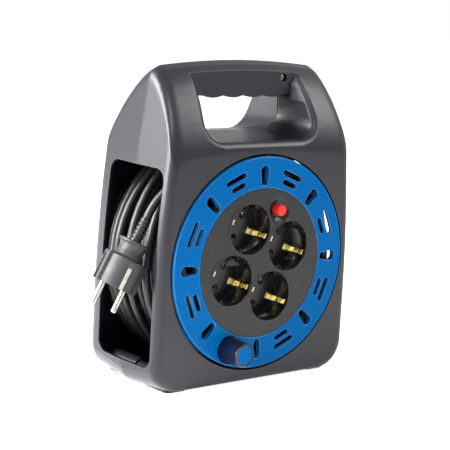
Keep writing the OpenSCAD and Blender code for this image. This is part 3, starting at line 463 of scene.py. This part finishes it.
def merged_copy(node: str, name: str, crease: float) -> bpy.types.Object:
    """Copies a CAD node's mesh, merges its loose triangles and shades it smooth between creases.

    Args:
        node: the CAD node.
        name: the new piece's name.
        crease: the angle in degrees above which an edge stays crisp.

    Returns:
        The new object, at the origin.
    """
    mesh = frame["nodes"][node].data.copy()
    mesh.name = name
    work = bmesh.new()
    work.from_mesh(mesh)
    bmesh.ops.remove_doubles(work, verts=work.verts, dist=MERGE_GAP)
    bmesh.ops.dissolve_degenerate(work, edges=work.edges, dist=SLIVER)
    bmesh.ops.dissolve_limit(work, angle_limit=FLAT_ANGLE, verts=work.verts, edges=work.edges)
    work.to_mesh(mesh)
    work.free()
    mesh.materials.clear()
    mesh.shade_smooth()
    mesh.set_sharp_from_angle(angle=math.radians(crease))
    piece = plain_object(name, mesh)
    weigh = piece.modifiers.new("even_normals", "WEIGHTED_NORMAL")
    weigh.keep_sharp = True
    weigh.weight = NORMAL_WEIGHT
    return piece


def plain_object(name: str, mesh: bpy.types.Mesh) -> bpy.types.Object:
    """Links a mesh into the scene as an object at the origin.

    Args:
        name: the object's name.
        mesh: its mesh.

    Returns:
        The new object.
    """
    piece = bpy.data.objects.new(name, mesh)
    bpy.context.scene.collection.objects.link(piece)
    return piece


class TreeMaker(NodeKit):
    """A Geometry Nodes tree that makes a piece."""

    def __init__(self, name: str) -> None:
        """Starts a tree that takes and gives a geometry.

        Args:
            name: the tree's name.
        """
        self.tree = bpy.data.node_groups.new(name, "GeometryNodeTree")
        self.tree.interface.new_socket("Geometry", in_out="INPUT", socket_type="NodeSocketGeometry")
        self.tree.interface.new_socket("Geometry", in_out="OUTPUT", socket_type="NodeSocketGeometry")
        self.sockets: dict[str, str] = {}
        self.entry = self.add("NodeGroupInput")
        self.exit = self.add("NodeGroupOutput")

    def size(self, name: str, kind: str = "NodeSocketFloat") -> None:
        """Adds a named input."""
        socket = self.tree.interface.new_socket(name, in_out="INPUT", socket_type=kind)
        self.sockets[name] = socket.identifier

    def finish(self, last: Node, output: str = "Mesh") -> None:
        """Ends the tree with real meshes and their material.

        Args:
            last: the node that gives the geometry.
            output: its output.
        """
        real = self.add("GeometryNodeRealizeInstances")
        self.link(last, output, real, "Geometry")
        dress = self.add("GeometryNodeSetMaterial")
        self.link(real, "Geometry", dress, "Geometry")
        self.link(self.entry, "Material", dress, "Material")
        self.link(dress, "Geometry", self.exit, "Geometry")

    def apply(self, source: bpy.types.Object, name: str, values: dict[str, object]) -> bpy.types.Object:
        """Runs the tree on an object and keeps the result as a plain mesh.

        Args:
            source: the object that carries the tree's input; it is removed.
            name: the new piece's name.
            values: the tree's inputs by name.

        Returns:
            The new object.
        """
        modifier = source.modifiers.new("maker", "NODES")
        modifier.node_group = self.tree
        for key, value in values.items():
            modifier[self.sockets[key]] = value
        bpy.context.view_layer.update()
        evaluated = source.evaluated_get(bpy.context.evaluated_depsgraph_get())
        mesh = bpy.data.meshes.new_from_object(evaluated)
        mesh.name = name
        bpy.data.objects.remove(source)
        return plain_object(name, mesh)


def sweep_tree() -> TreeMaker:
    """A tree that sweeps a round section along a curve.

    Returns:
        The tree, with inputs Radius, Sides and Material.
    """
    t = TreeMaker("sweep_round_section")
    t.size("Radius")
    t.size("Sides", "NodeSocketInt")
    t.size("Material", "NodeSocketMaterial")
    circle = t.add("GeometryNodeCurvePrimitiveCircle")
    t.link(t.entry, "Radius", circle, "Radius")
    t.link(t.entry, "Sides", circle, "Resolution")
    sweep = t.add("GeometryNodeCurveToMesh")
    sweep.inputs["Fill Caps"].default_value = True
    t.link(t.entry, "Geometry", sweep, "Curve")
    t.link(circle, "Curve", sweep, "Profile Curve")
    smooth = t.add("GeometryNodeSetShadeSmooth")
    t.link(sweep, "Mesh", smooth, "Geometry")
    t.finish(smooth, "Geometry")
    return t


def curve_of(points: Sequence[Vector], name: str) -> bpy.types.Object:
    """An open curve through points, as an object.

    Args:
        points: the points it follows.
        name: the object's name.

    Returns:
        The curve object.
    """
    curve = bpy.data.curves.new(name, "CURVE")
    curve.dimensions = "3D"
    spline = curve.splines.new("POLY")
    spline.points.add(len(points) - 1)
    for point, p in zip(spline.points, points):
        point.co = (*p, 1)
    piece = bpy.data.objects.new(name, curve)
    bpy.context.scene.collection.objects.link(piece)
    return piece


def smooth_route(route: Sequence[Vector], steps: int) -> list[Vector]:
    """A Catmull-Rom path through the points of a route.

    Args:
        route: the points.
        steps: how many pieces each stretch gets.

    Returns:
        The points of the path.
    """
    ends = [2 * route[0] - route[1], *route, 2 * route[-1] - route[-2]]
    path = []
    for a, b, c, d in zip(ends, ends[1:], ends[2:], ends[3:]):
        for s in range(steps):
            t = s / steps
            path.append(0.5 * (2 * b + (c - a) * t + (2 * a - 5 * b + 4 * c - d) * t * t
                               + (3 * b - a - 3 * c + d) * t ** 3))
    path.append(route[-1].copy())
    return path


# ---- Camera and light ----


@dataclass
class Studio:
    """Camera, floor and soft studio light."""

    azimuth: float = -38.612
    elevation: float = 10.208
    roll: float = 3.135
    distance: float = 1.17314
    aside: float = -0.031192
    above: float = 0.029899
    look_origin: Vector = field(default_factory=lambda: Vector((0, -0.0465, 0.102)))
    focal_pixels: float = 1421.18
    sensor: float = 36.0
    clip: Pair = (0.05, 20)
    floor_half: float = 6
    floor_tiles: int = 8
    floor_cloud: float = 0.4
    floor_tones: Pair = (0.9, 0.93)
    floor_glow: float = 0.95
    room_light: float = 0.07
    lamp_aim: Vector = field(default_factory=lambda: Vector((0, 0, 0.13)))
    lamps: tuple[tuple[str, tuple[float, float, float], float, float], ...] = (
        ("side_box", (-1.55, 0.85, 0.72), 1.3, 74), ("left_box", (-1.7, 0.2, 0.5), 0.6, 56),
        ("high_box", (-1.4, 0.5, 1.2), 0.8, 66), ("key_box", (1.1, -0.8, 1.3), 0.9, 22),
        ("rim_box", (-0.5, -0.85, 1.3), 0.3, 7))

    def camera(self) -> None:
        """Sets the camera up."""
        az, el, roll = (math.radians(v) for v in (self.azimuth, self.elevation, self.roll))
        back = Vector((math.sin(az) * math.cos(el), -math.cos(az) * math.cos(el), math.sin(el)))
        right = Vector((math.cos(az), math.sin(az), 0))
        up = back.cross(right)
        tilted_right = math.cos(roll) * right + math.sin(roll) * up
        tilted_up = -math.sin(roll) * right + math.cos(roll) * up
        data = bpy.data.cameras.new("camera")
        data.sensor_width = self.sensor
        data.lens = self.focal_pixels / IMAGE_SIDE * self.sensor
        data.clip_start, data.clip_end = self.clip
        camera = bpy.data.objects.new("camera", data)
        place = self.look_origin + self.distance * back + self.aside * right + self.above * up
        turn = Matrix((tilted_right, tilted_up, back)).transposed().to_4x4()
        camera.matrix_world = Matrix.Translation(place) @ turn
        bpy.context.scene.collection.objects.link(camera)
        bpy.context.scene.camera = camera

    def floor(self) -> None:
        """Lays a pale floor that shows as white paper under the reel."""
        work = bmesh.new()
        bmesh.ops.create_grid(work, x_segments=self.floor_tiles, y_segments=self.floor_tiles,
                              size=self.floor_half)
        mesh = bpy.data.meshes.new("floor")
        work.to_mesh(mesh)
        work.free()
        floor = plain_object("floor", mesh)
        g = NodeGraph("floor_paper")
        g.bsdf.inputs["Roughness"].default_value = 1.0
        g.bsdf.inputs["Specular IOR Level"].default_value = 0.0
        pale, paler = ((tone, tone, tone) for tone in self.floor_tones)
        patches = g.noise(g.place(), self.floor_cloud)
        g.link(g.mix(patches, "Fac", pale, paler), MIX_RESULT, g.bsdf, "Base Color")
        glow = g.add("ShaderNodeEmission")
        glow.inputs["Strength"].default_value = self.floor_glow
        lifted = g.add("ShaderNodeAddShader")
        g.link(g.bsdf, "BSDF", lifted, 0)
        g.link(glow, "Emission", lifted, 1)
        choice = g.add("ShaderNodeMixShader")
        g.link(self.seen_directly(g.tree), "Value", choice, 0)
        g.link(g.bsdf, "BSDF", choice, 1)
        g.link(lifted, "Shader", choice, 2)
        g.link(choice, "Shader", g.output, "Surface")
        mesh.materials.append(g.material)

    @staticmethod
    def seen_directly(tree: bpy.types.NodeTree) -> Node:
        """A node whose Value is 1 for what the camera sees, also in mirrors and through glass.

        Args:
            tree: the node tree that it joins.

        Returns:
            The last node of the chain.
        """
        path = tree.nodes.new("ShaderNodeLightPath")
        last = path.outputs["Is Camera Ray"]
        for kind in ("Is Glossy Ray", "Is Transmission Ray"):
            either = tree.nodes.new("ShaderNodeMath")
            either.operation = "MAXIMUM"
            tree.links.new(last, either.inputs[0])
            tree.links.new(path.outputs[kind], either.inputs[1])
            last = either.outputs["Value"]
        return last.node

    def lamp(self, name: str, place: Vector, size: float, power: float) -> None:
        """Hangs one square softbox that faces the reel.

        Args:
            name: its name.
            place: where it hangs.
            size: its side.
            power: its power in watts.
        """
        data = bpy.data.lights.new(name, "AREA")
        data.shape = "SQUARE"
        data.size = size
        data.energy = power
        lamp = bpy.data.objects.new(name, data)
        turn = (place - self.lamp_aim).to_track_quat("Z", "Y").to_matrix().to_4x4()
        lamp.matrix_world = Matrix.Translation(place) @ turn
        bpy.context.scene.collection.objects.link(lamp)

    def light(self) -> None:
        """Lights the reel from the left and from above, with white all round."""
        for name, place, size, power in self.lamps:
            self.lamp(name, Vector(place), size, power)
        world = bpy.data.worlds.new("white_room")
        world.use_nodes = True
        tree = world.node_tree
        tree.nodes.clear()
        out = tree.nodes.new("ShaderNodeOutputWorld")
        mix = tree.nodes.new("ShaderNodeMixShader")
        room, white = tree.nodes.new("ShaderNodeBackground"), tree.nodes.new("ShaderNodeBackground")
        room.inputs["Strength"].default_value = self.room_light
        room.inputs["Color"].default_value = (1, 1, 1, 1)
        white.inputs["Color"].default_value = (1, 1, 1, 1)
        tree.links.new(self.seen_directly(tree).outputs["Value"], mix.inputs[0])
        tree.links.new(room.outputs[0], mix.inputs[1])
        tree.links.new(white.outputs[0], mix.inputs[2])
        tree.links.new(mix.outputs[0], out.inputs["Surface"])
        bpy.context.scene.world = world
        bpy.context.scene.view_settings.view_transform = "Standard"

    def build(self) -> None:
        """Sets up camera, floor and light."""
        self.camera()
        self.floor()
        self.light()
        log.info("studio is set")


# ---- Cords ----


def path_length(path: Sequence[Vector]) -> float:
    """The length of a path."""
    return sum((b - a).length for a, b in zip(path, path[1:]))


def eased(share: float) -> float:
    """A share from 0 to 1 with a soft start and a soft end."""
    return share * share * (3 - 2 * share)


@dataclass
class Cord:
    """The mains cable: the wound part on the drum and the free end that leads to the plug.

    The turns in layers and the points of lead_route, which starts at the plug, are in millimetres.
    Everything else is in metres.
    """

    paints: dict[Slot, bpy.types.Material]
    tree: TreeMaker
    diameter: float = 0.0072
    turn_sides: int = 14
    end_sides: int = 24
    axis_z: float = 0.102
    entry: Vector = field(default_factory=lambda: Vector((-0.0661, 0.005, 0.0985)))
    entry_share: float = 0.25
    leave_angle: float = 0.9
    turn_rings: int = 48
    climb_start: float = 0.55
    swell: Pair = (0.0009, 0.0005)
    swell_turn: float = 1.9
    sway: Pair = (0.0016, 0.0008)
    sway_turn: float = 2.3
    sag: float = 0.0028
    sag_depth: float = -0.027
    sag_angle: float = math.radians(-30)
    kink: float = 0.008
    kink_turn: int = 7
    kink_angle: float = math.radians(-10)
    kink_width: float = math.radians(60)
    route_steps: int = 8
    layers: tuple[tuple[float, tuple[float, ...]], ...] = (
        (70.4, (5,)), (77.2, (33, 19, 5, -9, -22, -36.2)), (85.5, (-28.5, -17, -5, 6, 18, 31)),
        (93.4, (39.3, 32, 24.5, 10.5, -15.5)))
    lead_route: tuple[tuple[float, float, float], ...] = (
        (-98.68, -20.98, 142.43), (-96.1, -21.38, 147.66), (-91.5, -22.5, 155.2), (-85.5, -24.5, 162.5),
        (-78, -26.3, 169.2), (-68, -26.8, 175.6), (-57, -26.4, 181.5), (-45.7, -25.3, 186.9),
        (-30, -23.4, 190.4))

    def sweep(self, path: Sequence[Vector], name: str, sides: int) -> bpy.types.Object:
        """Sweeps the cable's section along a path.

        Args:
            path: the points it follows.
            name: the new piece's name.
            sides: how many sides the section has.

        Returns:
            The cable as a mesh.
        """
        return self.tree.apply(curve_of(path, name + "_line"), name, {
            "Radius": self.diameter / 2, "Sides": sides, "Material": self.paints[Slot.SHEATH]})

    def lead_path(self) -> list[Vector]:
        """The free stretch from the winding to the plug's bend relief."""
        route = [Vector(p) / 1000 for p in reversed(self.lead_route)]
        return smooth_route(route, self.route_steps)

    def turns(self) -> list[Pair]:
        """The radius and the depth of every turn, from the barrel outwards."""
        return [(radius / 1000, y / 1000) for radius, row in self.layers for y in row]

    def turn_place(self, places: Sequence[Pair], k: int, share: float, angle: float) -> Pair:
        """Where a loose turn lies at one point of its round.

        Args:
            places: the radius and the depth of every turn.
            k: the turn's number.
            share: how much of its round lies behind the point, from 0 to 1.
            angle: the point's angle about the axle.

        Returns:
            The radius and the depth at that point.
        """
        following = places[min(k + 1, len(places) - 1)]
        r, y = places[k]
        step = eased(max(0.0, (share - self.climb_start) / (1 - self.climb_start)))
        slack = [float(depth < self.sag_depth) for depth in (y, following[1])]
        r += (following[0] - r) * step
        y += (following[1] - y) * step
        wave = self.swell_turn * k
        r += self.swell[0] * math.sin(2 * angle + wave) + self.swell[1] * math.sin(3 * angle - wave)
        r += self.sag * (slack[0] + (slack[1] - slack[0]) * step) * math.cos(angle - self.sag_angle)
        y += self.sway[0] * math.sin(angle + self.sway_turn * k) + self.sway[1] * math.sin(2 * angle + wave)
        along = ((angle - self.kink_angle + math.pi) % TAU - math.pi) / self.kink_width
        if k == self.kink_turn and abs(along) < 1:
            y += self.kink * math.sin(math.pi * along) * math.cos(math.pi / 2 * along) ** 2
        return r, y

    def winding_path(self) -> list[Vector]:
        """Loose turns, from the hole in the barrel to the place where the free end leaves.

        Returns:
            The points of the path.
        """
        places = self.turns()
        leave = self.lead_path()[0]
        leave_r = math.hypot(leave.x, leave.z - self.axis_z)
        first = math.atan2(self.entry.z - self.axis_z, self.entry.x)
        last = math.atan2(leave.z - self.axis_z, leave.x)
        rounds = len(places) - ((first - last) % TAU) / TAU
        count = int(rounds * self.turn_rings)
        path = []
        for i in range(count + 1):
            gone = rounds * i / count
            k = min(int(gone), len(places) - 1)
            angle = first + gone * TAU
            r, y = self.turn_place(places, k, gone - k, angle)
            left = (rounds - gone) * TAU
            if left < self.leave_angle:
                blend = eased(1 - left / self.leave_angle)
                r += (leave_r - r) * blend
                y += (leave.y - y) * blend
            if gone < self.entry_share:
                blend = 1 - gone / self.entry_share
                y += (self.entry.y - y) * blend * blend
            path.append(Vector((r * math.cos(angle), y, self.axis_z + r * math.sin(angle))))
        return path

    def build(self) -> None:
        """Makes the wound cable and the free end, hides the CAD nodes they stand for and puts each on its
        body.
        """
        wound_path = self.winding_path()
        wound = self.sweep(wound_path, "cable_turns", self.turn_sides)
        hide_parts("cable_winding")
        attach(wound, Body.DRUM.value)
        log.info("%s: %.2f m", wound.name, path_length(wound_path))
        lead_path = self.lead_path()
        lead = self.sweep(lead_path, "cable_end", self.end_sides)
        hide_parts("cable_lead")
        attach(lead, Body.CASING.value)
        log.info("%s: %.3f m", lead.name, path_length(lead_path))


# ---- Pieces taken over from the CAD model ----


@dataclass
class SubAssembly:
    """Pieces that are taken over from the CAD model and ride on one body."""

    paints: dict[Slot, bpy.types.Material]
    body: Body
    crease: float = 32.0

    def skin(self, node: str, slot: Slot, crease: float | None = None) -> None:
        """Shows a merged, smoothly shaded copy in the place of a CAD node.

        Args:
            node: the CAD node.
            slot: the slot of its finish.
            crease: the angle in degrees above which an edge stays crisp, where it isn't the usual one.
        """
        piece = merged_copy(node, node + "_skin", self.crease if crease is None else crease)
        piece.data.materials.append(self.paints[slot])
        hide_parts(node)
        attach(piece, self.body.value)
        log.info("%s: %d faces", piece.name, len(piece.data.polygons))


@dataclass
class Case(SubAssembly):
    """The two shells of the carrying case with their screws."""

    body: Body = Body.CASING
    shell_crease: float = 28.0

    def build(self) -> None:
        """Takes the shells and the screws over."""
        self.skin("front_shell", Slot.CASING, self.shell_crease)
        self.skin("rear_shell", Slot.CASING, self.shell_crease)
        self.skin("case_screws", Slot.SCREW)
        self.skin("handle_screw", Slot.SCREW)


@dataclass
class Plug(SubAssembly):
    """The plug that is held on the case, with its bend relief."""

    body: Body = Body.CASING

    def build(self) -> None:
        """Takes the bend relief, the body, the bridge and the contacts over."""
        self.skin("bend_relief", Slot.SHEATH)
        self.skin("plug_body", Slot.PLUG)
        self.skin("plug_bridge", Slot.BRIDGE)
        self.skin("plug_pins", Slot.NICKEL)
        self.skin("plug_earth_strips", Slot.NICKEL)


@dataclass
class SocketDrum(SubAssembly):
    """The drum's pieces that show: flange, barrel, socket panel and earth clips."""

    body: Body = Body.DRUM

    def build(self) -> None:
        """Takes the flange, the barrel, the panel and the clips on their busbar over."""
        self.skin("front_flange", Slot.BLUE)
        self.skin("drum_barrel", Slot.BLACK)
        self.skin("socket_panel", Slot.BLACK)
        self.skin("earth_busbar", Slot.BRASS)


@dataclass
class ResetButton(SubAssembly):
    """The button that resets the thermal cut-out."""

    body: Body = Body.BUTTON

    def build(self) -> None:
        """Takes the button over."""
        self.skin("reset_button", Slot.RED)


@dataclass
class CrankKnob(SubAssembly):
    """The knob by which the drum is turned."""

    body: Body = Body.KNOB

    def build(self) -> None:
        """Takes the sleeve and its end cap over."""
        self.skin("knob_sleeve", Slot.KNOB)
        self.skin("knob_cap", Slot.BLUE)


def dress_hidden_nodes(paints: dict[Slot, bpy.types.Material]) -> None:
    """Gives the CAD nodes that stay as they are their finish.

    Args:
        paints: the materials by slot.
    """
    slots = {entry["node"]: entry["material_slot"] for entry in frame["record"]["subparts"]}
    by_value = {slot.value: paints[slot] for slot in Slot}
    for name, node in frame["nodes"].items():
        node.data.materials.clear()
        node.data.materials.append(by_value[slots[name]])


def clear_startup() -> None:
    """Removes the objects that a new Blender file holds."""
    for name in ("Cube", "Light", "Camera"):
        if name in bpy.data.objects:
            bpy.data.objects.remove(bpy.data.objects[name])


def main() -> None:
    """Builds the studio, the finishes and then every sub-assembly in order."""
    logging.basicConfig(level=logging.INFO, format="%(name)s: %(message)s")
    clear_startup()
    Studio().build()
    paints = {finish.slot: finish.build() for finish in FINISHES}
    dress_hidden_nodes(paints)
    Case(paints).build()
    Plug(paints).build()
    SocketDrum(paints).build()
    ResetButton(paints).build()
    CrankKnob(paints).build()
    Cord(paints, sweep_tree()).build()


if __name__ == "__main__":
    main()
